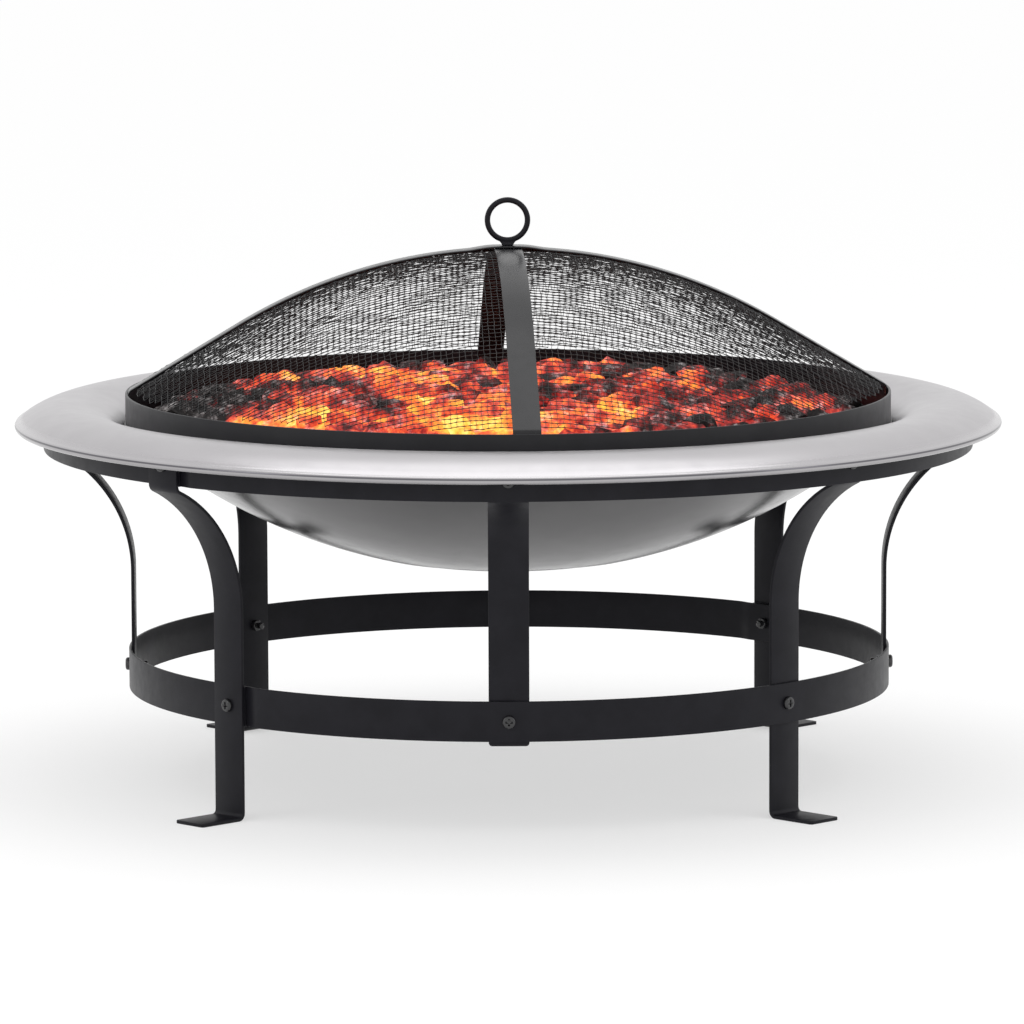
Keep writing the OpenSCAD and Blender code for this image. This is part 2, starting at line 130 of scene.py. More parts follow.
# Radii where the flange's satin ends, and where the lip's finish starts and is full; over the last two,
# the painted shade of the dark line in the lip's crease fades in
FLANGE_END = RIM_R - 7 * MM
LIP_EDGE = RIM_R - 4 * MM
LIP_FACE = RIM_R - 3 * MM
# Heights that the painted dark line of shade in the lip's crease lies between, and its colour
CREASE_LOW = LIP_Z - 1 * MM
CREASE_HIGH = LIP_Z + 3 * MM
PAINTED_CREASE_SHADE = (0.34, 0.34, 0.36)
NO_SHADE = (1, 1, 1)

# Guard
band_low, band_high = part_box("guard_band")
BEAD_R = 1 * MM
BAND_R = band_high[0] - BEAD_R
BAND_Z = band_low[2]
BAND_H = band_high[2] - band_low[2]
BAND_T = 2 * MM
mesh_low, mesh_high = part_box("guard_mesh")
MESH_TOP = mesh_high[2]
MESH_T = 1.1 * MM
SKIRT_R = mesh_high[0]
SKIRT_FOOT_Z = mesh_low[2]
SKIRT_H = 4 * MM
DOME_R = 403.5 * MM
DOME_SLOPE = radians(30.8)
SHOULDER_R = 4 * MM
SHOULDER_Z = SKIRT_FOOT_Z + SKIRT_H
DOME_Z = MESH_TOP - DOME_R
STRAP_W = 21 * MM
STRAP_T = 1.2 * MM
GUARD_TURN = 2.75
MESH_PITCH = 4.6 * MM
WIRE_D = 0.5 * MM
WIRE_STRAY = 0.45 * MM

# Handle
ring_low, ring_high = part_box("handle_ring")
EYE_R = (ring_high[0] - ring_low[0]) / 2
EYE_ROD_D = 4.4 * MM
EYE_Z = ring_high[2] - EYE_R
NECK_D = 9 * MM
WELD_H = 3.2 * MM
WELD_RISE = 0.6 * MM
SHANK_D = 5 * MM
# Top of the strap that lies over the other one
STRAP_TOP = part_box("guard_strap_lengthways")[1][2]
SHANK_FOOT_Z = ring_low[2]

# Shine that soot leaves on the coats
SOOT_SHINE = 0.03
# How far a face looks outwards, from -1 to 1, where its shine starts to come back and where it is full
SOOT_FACING = (-0.3, 0.1)

# Fire bed
bed_low, bed_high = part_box("fire_bed")
BED_R = bed_high[0]
BED_TOP_Z = bed_high[2]
BED_FOOT_Z = bed_low[2]
BED_EDGE_Z = BAND_Z + BAND_H - 16 * MM
BED_FULLNESS = 6
BED_SINK = 9 * MM
CRUST_RELIEF = 14 * MM
LUMP_KINDS = 8
COAL_COUNT = 210
COAL_TRIES = 30000
# Smallest and largest coal, in mm
COAL_SIZES = (14, 38)
BASE_HEAT = -0.42
# Hotter and colder places of the fire: x, y, half width, half depth (mm), heat added
HEAT_SPOTS = [
    (-150, -175, 60, 55, 0.24), (-30, -190, 42, 75, 0.24), (-60, -55, 22, 55, 0.22),
    (-165, 140, 60, 70, 0.20), (75, -125, 32, 50, 0.10), (228, -50, 20, 50, 0.22),
    (-80, 110, 60, 60, 0.06), (10, -250, 120, 30, 0.10),
    (-95, -95, 40, 45, -0.06), (-255, -10, 52, 160, -0.30), (-225, -125, 30, 50, -0.16),
    (-160, 0, 45, 60, -0.08), (115, 175, 110, 55, -0.20), (275, -10, 26, 150, -0.32),
    (222, -112, 18, 22, -0.34), (128, -205, 26, 30, -0.20), (170, -60, 50, 70, -0.08),
]

# Camera, its sensor and lens in mm and its turns in radians
CAMERA_PLACE = (2.69 * MM, -5.5, 917.4 * MM)
CAMERA_TILT = pi / 2 - 0.1291
CAMERA_ROLL = -0.0036
SENSOR_W = 36
LENS_LEN = 252.2109375

# ---------------------------------------------------------------- modelling helpers


def deselect_all():
    active = bpy.context.view_layer.objects.active
    if active and active.mode != "OBJECT":
        bpy.ops.object.mode_set(mode="OBJECT")
    bpy.ops.object.select_all(action="DESELECT")


def pick(piece):
    """Selects just this piece and makes it the active one."""
    deselect_all()
    piece.select_set(True)
    bpy.context.view_layer.objects.active = piece


def start(add, **settings):
    """Adds a primitive with nothing else selected, and goes into edit mode on it."""
    deselect_all()
    add(**settings)
    piece = bpy.context.object
    bpy.ops.object.transform_apply(location=True, rotation=True, scale=True)
    bpy.ops.object.mode_set(mode="EDIT")
    bpy.ops.mesh.select_mode(type="VERT")
    return piece


def start_section(x, z, thickness, width, tilt=(0, 0, 0)):
    """A flat bar's cross section as a loop of edges, thickness along X and width along Y."""
    deselect_all()
    bpy.ops.mesh.primitive_plane_add(size=1, location=(x, 0, z), rotation=tilt)
    piece = bpy.context.object
    piece.scale = (thickness, width, 1)
    bpy.ops.object.transform_apply(location=True, rotation=True, scale=True)
    bpy.ops.object.mode_set(mode="EDIT")
    bpy.ops.mesh.select_mode(type="VERT")
    bpy.ops.mesh.select_all(action="SELECT")
    bpy.ops.mesh.delete(type="ONLY_FACE")
    bpy.ops.mesh.select_all(action="SELECT")
    return piece


def extrude(vector):
    bpy.ops.mesh.extrude_region_move(TRANSFORM_OT_translate={"value": vector})


def spin(turn, steps, centre, axis):
    """Sweeps the selection by this turn, right-handed about the axis."""
    bpy.ops.mesh.spin(steps=steps, angle=-turn, center=centre, axis=axis)


def close_sweep():
    """Merges doubles, closes the open ends and turns the faces outwards."""
    bpy.ops.mesh.select_all(action="SELECT")
    bpy.ops.mesh.remove_doubles(threshold=MERGE_GAP)
    bpy.ops.mesh.fill_holes(sides=0)
    bpy.ops.mesh.select_all(action="SELECT")
    bpy.ops.mesh.normals_make_consistent(inside=False)


def sweep_round(steps):
    """Spins the whole section once round the vertical, and merges the seam."""
    bpy.ops.mesh.select_all(action="SELECT")
    spin(2 * pi, steps, (0, 0, 0), (0, 0, 1))
    bpy.ops.mesh.select_all(action="SELECT")
    bpy.ops.mesh.remove_doubles(threshold=MERGE_GAP)
    bpy.ops.mesh.normals_make_consistent(inside=False)
    deselect_all()


def select_edges(piece, test):
    """Selects just the edges whose two ends pass the test."""
    bpy.ops.mesh.select_mode(type="EDGE")
    bpy.ops.mesh.select_all(action="DESELECT")
    mesh = bmesh.from_edit_mesh(piece.data)
    for edge in mesh.edges:
        edge.select = test(edge.verts[0].co, edge.verts[1].co)
    bmesh.update_edit_mesh(piece.data)


def select_points(piece, test):
    """Selects just the points that pass the test."""
    bpy.ops.mesh.select_mode(type="VERT")
    bpy.ops.mesh.select_all(action="DESELECT")
    mesh = bmesh.from_edit_mesh(piece.data)
    for point in mesh.verts:
        point.select = test(point.co)
    mesh.select_flush(True)
    bmesh.update_edit_mesh(piece.data)


def round_edges(piece, width, segments=2, angle=50):
    """Rounds the sharp edges with a bevel, and shades the piece smooth."""
    pick(piece)
    bevel = piece.modifiers.new("edges", "BEVEL")
    bevel.width = width
    bevel.segments = segments
    bevel.limit_method = "ANGLE"
    bevel.angle_limit = radians(angle)
    bpy.ops.object.modifier_apply(modifier=bevel.name)
    bpy.ops.object.shade_smooth_by_angle(angle=radians(40))


def smooth(piece, angle=40):
    pick(piece)
    bpy.ops.object.shade_smooth_by_angle(angle=radians(angle))


def apply_modifier(piece, kind, **settings):
    pick(piece)
    modifier = piece.modifiers.new(kind.lower(), kind)
    for name, value in settings.items():
        setattr(modifier, name, value)
    bpy.ops.object.modifier_apply(modifier=modifier.name)


def turn_to(piece, azimuth):
    """Turns the piece about the vertical, into its mesh."""
    pick(piece)
    piece.rotation_euler.z = radians(azimuth)
    bpy.ops.object.transform_apply(location=True, rotation=True, scale=True)


def place(piece, location=(0, 0, 0), rotation=(0, 0, 0), scale=(1, 1, 1)):
    pick(piece)
    piece.location = location
    piece.rotation_euler = rotation
    piece.scale = scale
    bpy.ops.object.transform_apply(location=True, rotation=True, scale=True)


def join(pieces):
    """Joins pieces into the first one."""
    deselect_all()
    for piece in pieces:
        piece.select_set(True)
    bpy.context.view_layer.objects.active = pieces[0]
    bpy.ops.object.join()
    return pieces[0]


def copy_of(piece):
    twin = piece.copy()
    twin.data = piece.data.copy()
    bpy.context.scene.collection.objects.link(twin)
    return twin


def finish_piece(piece, name, body, finish, slot, *nodes):
    piece.name = name
    piece.data.name = name
    piece.data.materials.clear()
    piece.data.materials.append(finish)
    if nodes:
        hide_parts(*nodes)
    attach(piece, body)


# ---------------------------------------------------------------- materials


def new_finish(name):
    finish = bpy.data.materials.new(name)
    finish.use_nodes = True
    nodes = finish.node_tree.nodes
    return finish, nodes, finish.node_tree.links, nodes["Principled BSDF"]


def noise_node(nodes, links, scale, detail=4, roughness=0.55, stretch=(1, 1, 1)):
    """Noise on Object coordinates; scale is in repeats per metre."""
    place_node = nodes.new("ShaderNodeTexCoord")
    mapping = nodes.new("ShaderNodeMapping")
    mapping.inputs["Scale"].default_value = stretch
    noise = nodes.new("ShaderNodeTexNoise")
    noise.inputs["Scale"].default_value = scale
    noise.inputs["Detail"].default_value = detail
    noise.inputs["Roughness"].default_value = roughness
    links.new(place_node.outputs["Object"], mapping.inputs["Vector"])
    links.new(mapping.outputs["Vector"], noise.inputs["Vector"])
    return noise


def ramp_node(nodes, links, source, stops):
    ramp = nodes.new("ShaderNodeValToRGB")
    elements = ramp.color_ramp.elements
    while len(elements) > 1:
        elements.remove(elements[-1])
    elements[0].position, elements[0].color = stops[0][0], (*stops[0][1], 1)
    for position, colour in stops[1:]:
        element = elements.new(position)
        element.color = (*colour, 1)
    links.new(source, ramp.inputs["Fac"])
    return ramp


def range_node(nodes, links, source, low, high, from_low=0.3, from_high=0.7):
    scaled = nodes.new("ShaderNodeMapRange")
    scaled.inputs["From Min"].default_value = from_low
    scaled.inputs["From Max"].default_value = from_high
    scaled.inputs["To Min"].default_value = low
    scaled.inputs["To Max"].default_value = high
    links.new(source, scaled.inputs["Value"])
    return scaled


def mix_colours(nodes, links, factor, first, second, blend="MIX"):
    mix = nodes.new("ShaderNodeMix")
    mix.data_type = "RGBA"
    mix.blend_type = blend
    links.new(factor, mix.inputs["Factor"])
    links.new(first, mix.inputs["A"])
    links.new(second, mix.inputs["B"])
    return mix


def bump_node(nodes, links, source, distance, strength=1.0, under=None):
    bump = nodes.new("ShaderNodeBump")
    bump.inputs["Distance"].default_value = distance
    bump.inputs["Strength"].default_value = strength
    links.new(source, bump.inputs["Height"])
    if under:
        links.new(under.outputs["Normal"], bump.inputs["Normal"])
    return bump


def coated_finish(name, dark, light, rough_low, rough_high, shine):
    """Satin black coat: slight mottling, orange peel and a little unevenness in its gloss."""
    finish, nodes, links, shader = new_finish(name)
    shader.inputs["Specular IOR Level"].default_value = shine
    mottle = noise_node(nodes, links, 45, 5)
    tone = ramp_node(nodes, links, mottle.outputs["Fac"], [(0.35, dark), (0.7, light)])
    links.new(tone.outputs["Color"], shader.inputs["Base Color"])
    haze = noise_node(nodes, links, 110, 6, 0.65)
    gloss = range_node(nodes, links, haze.outputs["Fac"], rough_low, rough_high)
    links.new(gloss.outputs["Result"], shader.inputs["Roughness"])
    peel = noise_node(nodes, links, 900, 2, 0.5)
    grain = noise_node(nodes, links, 3500, 2, 0.5)
    coarse = bump_node(nodes, links, peel.outputs["Fac"], 0.03 * MM, 0.5)
    fine = bump_node(nodes, links, grain.outputs["Fac"], 0.01 * MM, 0.4, coarse)
    links.new(fine.outputs["Normal"], shader.inputs["Normal"])
    return finish


def soot_inside(finish):
    """Takes the shine off a coat where its faces look towards the middle of the guard."""
    nodes, links = finish.node_tree.nodes, finish.node_tree.links
    shine = nodes["Principled BSDF"].inputs["Specular IOR Level"]
    coords = nodes.new("ShaderNodeTexCoord")
    outwards = nodes.new("ShaderNodeVectorMath")
    outwards.operation = "SUBTRACT"
    outwards.inputs[1].default_value = (0, 0, DOME_Z)
    links.new(coords.outputs["Object"], outwards.inputs[0])
    direction = nodes.new("ShaderNodeVectorMath")
    direction.operation = "NORMALIZE"
    links.new(outwards.outputs["Vector"], direction.inputs[0])
    facing = nodes.new("ShaderNodeVectorMath")
    facing.operation = "DOT_PRODUCT"
    links.new(direction.outputs["Vector"], facing.inputs[0])
    links.new(coords.outputs["Normal"], facing.inputs[1])
    gloss = range_node(nodes, links, facing.outputs["Value"], SOOT_SHINE, shine.default_value,
                       *SOOT_FACING)
    links.new(gloss.outputs["Result"], shine)


def steel_colour(nodes, links, height, distance, unshaded_flange):
    """Clouded steel, bright on the flange and painted darker on the dish as painted shade, with a
    painted dark line of shade along the lip's crease.
    """
    cloud = noise_node(nodes, links, 9, 4)
    bright = ramp_node(nodes, links, cloud.outputs["Fac"],
                       [(0.3, (0.465, 0.452, 0.465)), (0.7, (0.50, 0.487, 0.50))])
    # Painted shade: the darker tone given to the dish
    painted_dark_dish = ramp_node(nodes, links, cloud.outputs["Fac"],
                     [(0.3, (0.125, 0.123, 0.125)), (0.7, (0.154, 0.152, 0.154))])
    tone = mix_colours(nodes, links, unshaded_flange, painted_dark_dish.outputs["Color"], bright.outputs["Color"])
    # Painted shade: a dark line multiplied into the colour on the lip, where the flange meets the
    # rolled lip
    along_lip = range_node(nodes, links, height, 0, 1, CREASE_LOW, CREASE_HIGH)
    painted_crease = ramp_node(nodes, links, along_lip.outputs["Result"],
                       [(0.24, NO_SHADE), (0.34, PAINTED_CREASE_SHADE), (0.56, PAINTED_CREASE_SHADE), (0.66, NO_SHADE)])
    on_lip = range_node(nodes, links, distance, 0, 1, LIP_EDGE, LIP_FACE)
    return mix_colours(nodes, links, on_lip.outputs["Result"], tone.outputs["Result"],
                       painted_crease.outputs["Color"], "MULTIPLY")


def steel_gloss(nodes, links, distance, unshaded_flange):
    """Roughness: the dish and the rolled lip mirror the stand more sharply than the flange."""
    smear = noise_node(nodes, links, 60, 5, 0.6)
    satin = range_node(nodes, links, smear.outputs["Fac"], 0.30, 0.38)
    smoother = range_node(nodes, links, smear.outputs["Fac"], 0.17, 0.23)
    before_lip = range_node(nodes, links, distance, 1, 0, FLANGE_END, LIP_EDGE)
    on_flange = nodes.new("ShaderNodeMath")
    on_flange.operation = "MULTIPLY"
    links.new(unshaded_flange, on_flange.inputs[0])
    links.new(before_lip.outputs["Result"], on_flange.inputs[1])
    gloss = nodes.new("ShaderNodeMix")
    links.new(on_flange.outputs["Value"], gloss.inputs["Factor"])
    links.new(smoother.outputs["Result"], gloss.inputs["A"])
    links.new(satin.outputs["Result"], gloss.inputs["B"])
    return gloss


def spun_rings(nodes, links, distance):
    """Bump of the fine rings from spinning, over slight dents."""
    rings = nodes.new("ShaderNodeTexNoise")
    rings.noise_dimensions = "1D"
    rings.inputs["Scale"].default_value = 1800
    rings.inputs["Detail"].default_value = 3
    links.new(distance, rings.inputs["W"])
    turned = bump_node(nodes, links, rings.outputs["Fac"], 0.004 * MM, 0.6)
    dents = noise_node(nodes, links, 14, 2, 0.4)
    return bump_node(nodes, links, dents.outputs["Fac"], 0.15 * MM, 0.35, turned)


def satin_steel():
    """Satin stainless sheet with fine rings from spinning and a faint cloudiness."""
    finish, nodes, links, shader = new_finish("satin_steel")
    shader.inputs["Metallic"].default_value = 1.0
    coords = nodes.new("ShaderNodeTexCoord")
    split = nodes.new("ShaderNodeSeparateXYZ")
    links.new(coords.outputs["Object"], split.inputs["Vector"])
    flat = nodes.new("ShaderNodeCombineXYZ")
    links.new(split.outputs["X"], flat.inputs["X"])
    links.new(split.outputs["Y"], flat.inputs["Y"])
    length = nodes.new("ShaderNodeVectorMath")
    length.operation = "LENGTH"
    links.new(flat.outputs["Vector"], length.inputs[0])
    height = split.outputs["Z"]
    distance = length.outputs["Value"]
    # Painted shade: below the flange the dish's colour is darkened as though it mirrored a darker
    # floor; the same mask keeps the flange satin
    unshaded_flange = range_node(nodes, links, height, 0, 1, PAINTED_SHADE_BELOW, UNSHADED_ABOVE).outputs["Result"]
    colour = steel_colour(nodes, links, height, distance, unshaded_flange)
    gloss = steel_gloss(nodes, links, distance, unshaded_flange)
    rings = spun_rings(nodes, links, distance)
    links.new(colour.outputs["Result"], shader.inputs["Base Color"])
    links.new(gloss.outputs["Result"], shader.inputs["Roughness"])
    links.new(rings.outputs["Normal"], shader.inputs["Normal"])
    return finish


def scaled_iron():
    """Steel rod that heat has turned dark grey, with a scaly surface."""
    finish, nodes, links, shader = new_finish("heat_scaled_iron")
    shader.inputs["Metallic"].default_value = 0.6
    patch = noise_node(nodes, links, 120, 6, 0.65)
    tone = ramp_node(nodes, links, patch.outputs["Fac"],
                     [(0.3, (0.025, 0.023, 0.022)), (0.55, (0.06, 0.052, 0.048)),
                      (0.75, (0.13, 0.075, 0.045))])
    links.new(tone.outputs["Color"], shader.inputs["Base Color"])
    gloss = range_node(nodes, links, patch.outputs["Fac"], 0.55, 0.8)
    links.new(gloss.outputs["Result"], shader.inputs["Roughness"])
    scale = noise_node(nodes, links, 700, 4, 0.6)
    rough = bump_node(nodes, links, scale.outputs["Fac"], 0.15 * MM, 0.7)
    links.new(rough.outputs["Normal"], shader.inputs["Normal"])
    return finish


def ember_finish(name):
    """Glowing coal: ash and char where its heat is low, red to yellow where high."""
    finish, nodes, links, shader = new_finish(name)
    shader.inputs["Roughness"].default_value = 0.95
    heat = nodes.new("ShaderNodeAttribute")
    heat.attribute_name = "ember_heat"
    total = heat.outputs["Fac"]
    along = (1, 0.45, 1)
    blotch = noise_node(nodes, links, 22, 3, 0.5, along)
    lump = noise_node(nodes, links, 60, 5, 0.6, along)
    vein = noise_node(nodes, links, 210, 4, 0.6, along)
    for part, share in ((blotch, 0.60), (lump, 0.85), (vein, 0.35)):
        sum_node = nodes.new("ShaderNodeMath")
        sum_node.operation = "MULTIPLY_ADD"
        sum_node.inputs[1].default_value = share
        links.new(part.outputs["Fac"], sum_node.inputs[0])
        links.new(total, sum_node.inputs[2])
        total = sum_node.outputs["Value"]
    glow = ramp_node(nodes, links, total, [
        (0.30, (0.0, 0.0, 0.0)), (0.40, (0.07, 0.003, 0.003)), (0.48, (0.32, 0.016, 0.012)),
        (0.56, (0.62, 0.060, 0.022)), (0.65, (0.85, 0.20, 0.030)), (0.76, (0.95, 0.46, 0.05)),
        (0.90, (1.0, 0.74, 0.18))])
    links.new(glow.outputs["Color"], shader.inputs["Emission Color"])
    shader.inputs["Emission Strength"].default_value = 1.5
    ash = noise_node(nodes, links, 90, 6, 0.7, along)
    body = ramp_node(nodes, links, ash.outputs["Fac"],
                     [(0.40, (0.005, 0.004, 0.004)), (0.53, (0.022, 0.017, 0.017)),
                      (0.60, (0.18, 0.16, 0.16)), (0.70, (0.60, 0.57, 0.57))])
    links.new(body.outputs["Color"], shader.inputs["Base Color"])
    crust = bump_node(nodes, links, vein.outputs["Fac"], 2.0 * MM, 0.8)
    links.new(crust.outputs["Normal"], shader.inputs["Normal"])
    return finish


stand_coat = coated_finish("satin_black_coat", (0.0085, 0.0083, 0.0112), (0.0125, 0.0122, 0.0160),
                           0.36, 0.44, 0.15)
guard_coat = coated_finish("guard_black_coat", (0.0115, 0.0115, 0.0135), (0.016, 0.016, 0.0185),
                           0.34, 0.42, 0.25)
bolt_coat = coated_finish("blackened_bolt", (0.007, 0.007, 0.008), (0.013, 0.013, 0.015),
                          0.13, 0.20, 0.7)
strap_coat = coated_finish("strap_black_coat", (0.0085, 0.0085, 0.010), (0.012, 0.012, 0.014),
                           0.22, 0.30, 0.33)
wire_coat = coated_finish("coated_wire", (0.014, 0.014, 0.015), (0.020, 0.020, 0.022),
                          0.28, 0.38, 0.55)
for coat in (strap_coat, guard_coat, wire_coat):
    soot_inside(coat)
bowl_steel = satin_steel()
grate_iron = scaled_iron()
ember_glow = ember_finish("ember_glow")

# ---------------------------------------------------------------- stand


def flat_inside(wall_r, width):
    """Radius at which a flat plate of this width touches the inside of a round wall."""
    return sqrt(wall_r ** 2 - (width / 2) ** 2) - SEAT_GAP


def upright_r(hoop_r, where):
    if where in OUTER_UPRIGHTS:
        return hoop_r + SEAT_GAP + BAR_T / 2
    return flat_inside(hoop_r - HOOP_T, BAR_W) - BAR_T / 2


def round_end(piece, at_end):
    """Rounds the corners of the bar's end: its edges along the thickness at that end."""
    def corner(a, b):
        beside = abs(abs(a.y) - BAR_W / 2) < NEAR and abs(a.y - b.y) < NEAR
        return beside and at_end(a) and at_end(b)
    select_edges(piece, corner)
    bpy.ops.mesh.bevel(offset=END_CORNER_R, segments=4, affect="EDGES")


def finish_upright(piece, where, low, high):
    """The flare, the bend back and the tab on the upper hoop, from the bar's straight part."""
    along_y = (0, 1, 0)
    turn = acos(1 - (high - low) / (FLARE_R + TAB_BEND_R))
    # Inside the hoop the bend back ends a little higher, hidden by the hoop
    bend_z = UPPER_HOOP_Z + (0 if where in OUTER_UPRIGHTS else INNER_BEND_RISE)
    flare_z = bend_z - (FLARE_R + TAB_BEND_R) * sin(turn)
    reach = max(p.co.z for p in bmesh.from_edit_mesh(piece.data).verts if p.select)
    extrude((0, 0, flare_z - reach))
    spin(turn, 28, (low + FLARE_R, 0, flare_z), along_y)
    spin(-turn, 8, (high - TAB_BEND_R, 0, bend_z), along_y)
    extrude((0, 0, TAB_TOP_Z - bend_z))
    close_sweep()
    round_end(piece, lambda p: abs(p.z - TAB_TOP_Z) < NEAR)


def make_leg(where):
    low = upright_r(LOWER_HOOP_R, where)
    high = upright_r(UPPER_HOOP_R, where)
    piece = start_section(low + FOOT_LEN, BAR_T / 2, BAR_T, BAR_W, (0, pi / 2, 0))
    extrude((FOOT_BEND_R - FOOT_LEN, 0, 0))
    spin(pi / 2, 8, (low + FOOT_BEND_R, 0, FOOT_BEND_R + BAR_T / 2), (0, 1, 0))
    finish_upright(piece, where, low, high)
    round_end(piece, lambda p: abs(p.x - low - FOOT_LEN) < NEAR)
    return piece


def make_strut(where):
    low = upright_r(LOWER_HOOP_R, where)
    high = upright_r(UPPER_HOOP_R, where)
    piece = start_section(low, STRUT_FOOT_Z, BAR_T, BAR_W)
    finish_upright(piece, where, low, high)
    round_end(piece, lambda p: abs(p.z - STRUT_FOOT_Z) < NEAR)
    return piece


def make_hoop_half(r, z):
    """Half a hoop from its stepped-in lap to its plain end; the lap starts at azimuth 0."""
    up = (0, 0, 1)
    lap_r = r - HOOP_T - SEAT_GAP
    lap = LAP_LEN / r
    joggle = JOGGLE_LEN / r
    steps = 8
    piece = start_section(lap_r - HOOP_T / 2, z + HOOP_H / 2, HOOP_T, HOOP_H, (pi / 2, 0, 0))
    spin(lap, 8, (0, 0, 0), up)
    for i in range(steps):
        angle = lap + joggle * (i + 1) / steps
        rise = (r - lap_r) * (cos(pi * i / steps) - cos(pi * (i + 1) / steps)) / 2
        spin(joggle / steps, 1, (0, 0, 0), up)
        bpy.ops.transform.translate(value=(rise * cos(angle), rise * sin(angle), 0))
    spin(pi - joggle, 110, (0, 0, 0), up)
    close_sweep()
    return piece


def head_seat(r, where):
    if where in OUTER_UPRIGHTS:
        return upright_r(r, where) + BAR_T / 2 + SEAT_GAP
    return r + SEAT_GAP


def nut_seat(r, where):
    if where in OUTER_UPRIGHTS:
        return flat_inside(r - 2 * HOOP_T - SEAT_GAP, NUT_AF / cos(radians(30)))
    return upright_r(r, where) - BAR_T / 2 - SEAT_GAP


def make_bolt():
    """Pan head bolt along +X, its head above X = 0."""
    dome = start(bpy.ops.mesh.primitive_cylinder_add, vertices=32, radius=HEAD_D / 2,
                 depth=HEAD_H, location=(0, 0, HEAD_H / 2))
    select_edges(dome, lambda a, b: a.z > HEAD_H * 0.9 and b.z > HEAD_H * 0.9)
    bpy.ops.mesh.bevel(offset=HEAD_CROWN, segments=6, affect="EDGES")
    select_points(dome, lambda p: p.z < NEAR)
    bpy.ops.mesh.inset(thickness=(HEAD_D - BOLT_D) / 2)
    extrude((0, 0, TIP_LEN - BOLT_LEN))
    extrude((0, 0, -TIP_LEN))
    bpy.ops.transform.resize(value=(0.85, 0.85, 1))
    deselect_all()
    cutters = []
    for angle in (0, 90):
        cutter = start(bpy.ops.mesh.primitive_cube_add, size=1,
                       location=(0, 0, HEAD_H), scale=(RECESS_LEN, RECESS_W, RECESS_H))
        select_points(cutter, lambda p: p.z < HEAD_H)
        bpy.ops.transform.resize(value=(0.45, 0.75, 1))
        deselect_all()
        turn_to(cutter, angle)
        cutters.append(cutter)
    for cutter in cutters:
        apply_modifier(dome, "BOOLEAN", operation="DIFFERENCE", object=cutter, solver="EXACT")
        bpy.data.objects.remove(cutter)
    round_edges(dome, 0.08 * MM, 1, 60)
    place(dome, rotation=(0, pi / 2, 0))
    return dome


def make_nut():
    """Hexagon nut along -X from X = 0, its corners chamfered."""
    nut = start(bpy.ops.mesh.primitive_cylinder_add, vertices=6,
                radius=NUT_AF / 2 / cos(radians(30)), depth=NUT_H, location=(0, 0, NUT_H / 2))
    deselect_all()
    cone = start(bpy.ops.mesh.primitive_cylinder_add, vertices=48, radius=NUT_AF / 2 * 1.11,
                 depth=NUT_H, location=(0, 0, NUT_H / 2))
    select_edges(cone, lambda a, b: abs(a.z - b.z) < NEAR)
    bpy.ops.mesh.bevel(offset=NUT_CHAMFER, segments=2, affect="EDGES")
    deselect_all()
    apply_modifier(nut, "BOOLEAN", operation="INTERSECT", object=cone, solver="EXACT")
    bpy.data.objects.remove(cone)
    round_edges(nut, 0.1 * MM, 1, 35)
    place(nut, rotation=(0, -pi / 2, 0))
    return nut


def ring_of(original, seat, r, z):
    """Copies of a fastener at every upright, joined."""
    copies = []
    for where, azimuth in AZIMUTH.items():
        twin = copy_of(original)
        place(twin, location=(seat(r, where), 0, z))
        turn_to(twin, azimuth)
        copies.append(twin)
    return join(copies)


def build_uprights():
    for side in ("front_left", "front_right", "rear_left", "rear_right"):
        leg = make_leg(side)
        round_edges(leg, EDGE_ROUND)
        turn_to(leg, AZIMUTH[side])
        finish_piece(leg, f"bent_leg_{side}", "stand", stand_coat, "stand_coating", f"leg_{side}")
    for side in ("front", "rear", "left", "right"):
        strut = make_strut(side)
        round_edges(strut, EDGE_ROUND)
        turn_to(strut, AZIMUTH[side])
        finish_piece(strut, f"bent_strut_{side}", "stand", stand_coat, "stand_coating",
                     f"strut_{side}")


def build_hoops():
    """The hoops' halves, each with the middle of its lap at an upright outside the hoop."""
    for level, r, z in HOOPS:
        for side, first in (("front", "front_left"), ("rear", "rear_right")):
            hoop = make_hoop_half(r, z)
            round_edges(hoop, EDGE_ROUND)
            turn_to(hoop, AZIMUTH[first] - degrees(LAP_LEN / 2 / r))
            finish_piece(hoop, f"{level}_band_{side}", "stand", stand_coat, "stand_coating",
                         f"{level}_hoop_{side}")


def build_fasteners():
    bolt = make_bolt()
    nut = make_nut()
    for level, r, z in HOOPS:
        middle = z + HOOP_H / 2
        bolts = ring_of(bolt, head_seat, r, middle)
        finish_piece(bolts, f"{level}_pan_heads", "stand", bolt_coat, "fasteners",
                     f"{level}_hoop_bolts")
        nuts = ring_of(nut, nut_seat, r, middle)
        finish_piece(nuts, f"{level}_hex_nuts", "stand", bolt_coat, "fasteners",
                     f"{level}_hoop_nuts")
    bpy.data.objects.remove(bolt)
    bpy.data.objects.remove(nut)


# ---------------------------------------------------------------- bowl


def arc_points(centre, r, begin, end, steps):
    """Points on an arc in the R-Z plane; angles in radians from +R towards +Z."""
    return [(centre[0] + r * cos(begin + (end - begin) * i / steps),
             centre[1] + r * sin(begin + (end - begin) * i / steps)) for i in range(steps + 1)]


